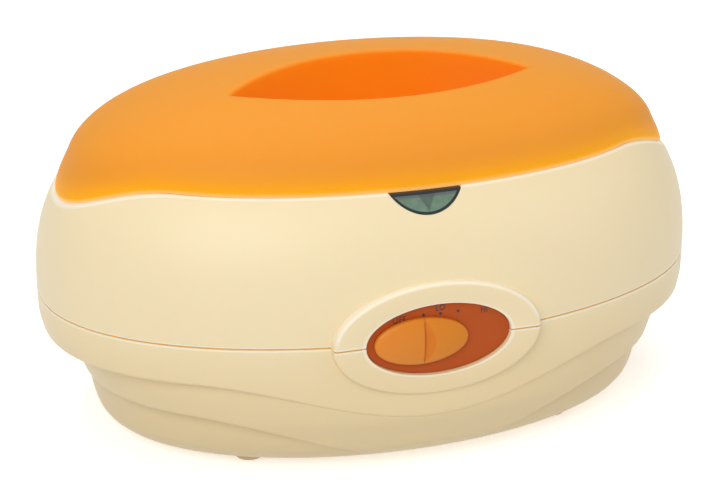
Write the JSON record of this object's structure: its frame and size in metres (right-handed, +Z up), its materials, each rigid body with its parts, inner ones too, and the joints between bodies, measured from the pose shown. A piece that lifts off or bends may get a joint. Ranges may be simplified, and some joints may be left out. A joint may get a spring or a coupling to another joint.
{
  "type": "paraffin bath",
  "caption": "Oval heated wax bath with a lift-off frosted lid, aluminium tub, sliding heat selector and draped two-part casing.",
  "frame": {"origin": "centre of the footprint, on the surface that the rubber feet stand on", "axes": "+Z up, +X to the right of a person facing the control panel, -Y out of the control panel"},
  "size_m": [0.38, 0.2542, 0.2019],
  "materials": {
    "lid": "frosted translucent",
    "casing": "satin moulded",
    "seam_seal": "matt",
    "screws": "zinc plated",
    "feet": "matt",
    "label": "satin, blank",
    "gland": "matt",
    "bezel": "satin",
    "lens": "polished",
    "lamp": "clear",
    "inner_plastic": "moulded",
    "control_plate": "fine matt",
    "knob": "satin gloss",
    "switch_body": "moulded",
    "steel": "plated",
    "tub": "satin",
    "gasket": "silicone",
    "guard": "moulded",
    "insulation": "glass felt",
    "element": "heat dulled",
    "terminals": "plated",
    "fuse": "plain",
    "ceramic_block": "unglazed",
    "shield": "mill finish",
    "lead_brown": "smooth",
    "lead_red": "smooth",
    "lead_white": "smooth"
  },
  "bodies": {
    "root": {"upper_housing": "casing", "lower_housing": "casing", "seam_seal": "seam_seal", "housing_screws": "screws", "rubber_feet": "feet", "blank_label": "label", "cord_gland": "gland", "lens_bezel": "bezel", "indicator_lens": "lens", "indicator_lamp": "lamp", "lamp_holder": "inner_plastic", "control_plate": "control_plate", "selector_switch": "switch_body", "switch_bracket": "steel", "switch_screws": "screws", "tub": "tub", "tub_gasket": "gasket", "tub_guard": "guard", "tub_brackets": "steel", "bracket_screws": "screws", "insulation_wrap": "insulation", "heating_element": "element", "element_terminals": "terminals", "element_straps": "steel", "stud_nuts": "screws", "thermostat": "switch_body", "thermostat_plate": "steel", "thermal_fuse": "fuse", "fuse_block": "ceramic_block", "heat_shield": "shield", "shield_screws": "screws", "terminal_block": "inner_plastic", "terminal_screws": "screws", "lead_supply": "lead_brown", "lead_element": "lead_red", "lead_thermostat": "lead_white", "lead_lamp_left": "lead_white", "lead_lamp_right": "lead_white"},
    "lid": {"lid": "lid"},
    "slider": {"slider_knob": "knob", "slider_carrier": "inner_plastic", "switch_lever": "inner_plastic"}
  },
  "joints": [
    {"name": "lid_lift", "type": "slide", "parent": "root", "child": "lid", "axis": [0, 0, 1], "range_m": [0, 0.15]},
    {"name": "heat_slide", "type": "slide", "parent": "root", "child": "slider", "axis": [1, 0, 0], "range_m": [0, 0.0196]}
  ]
}
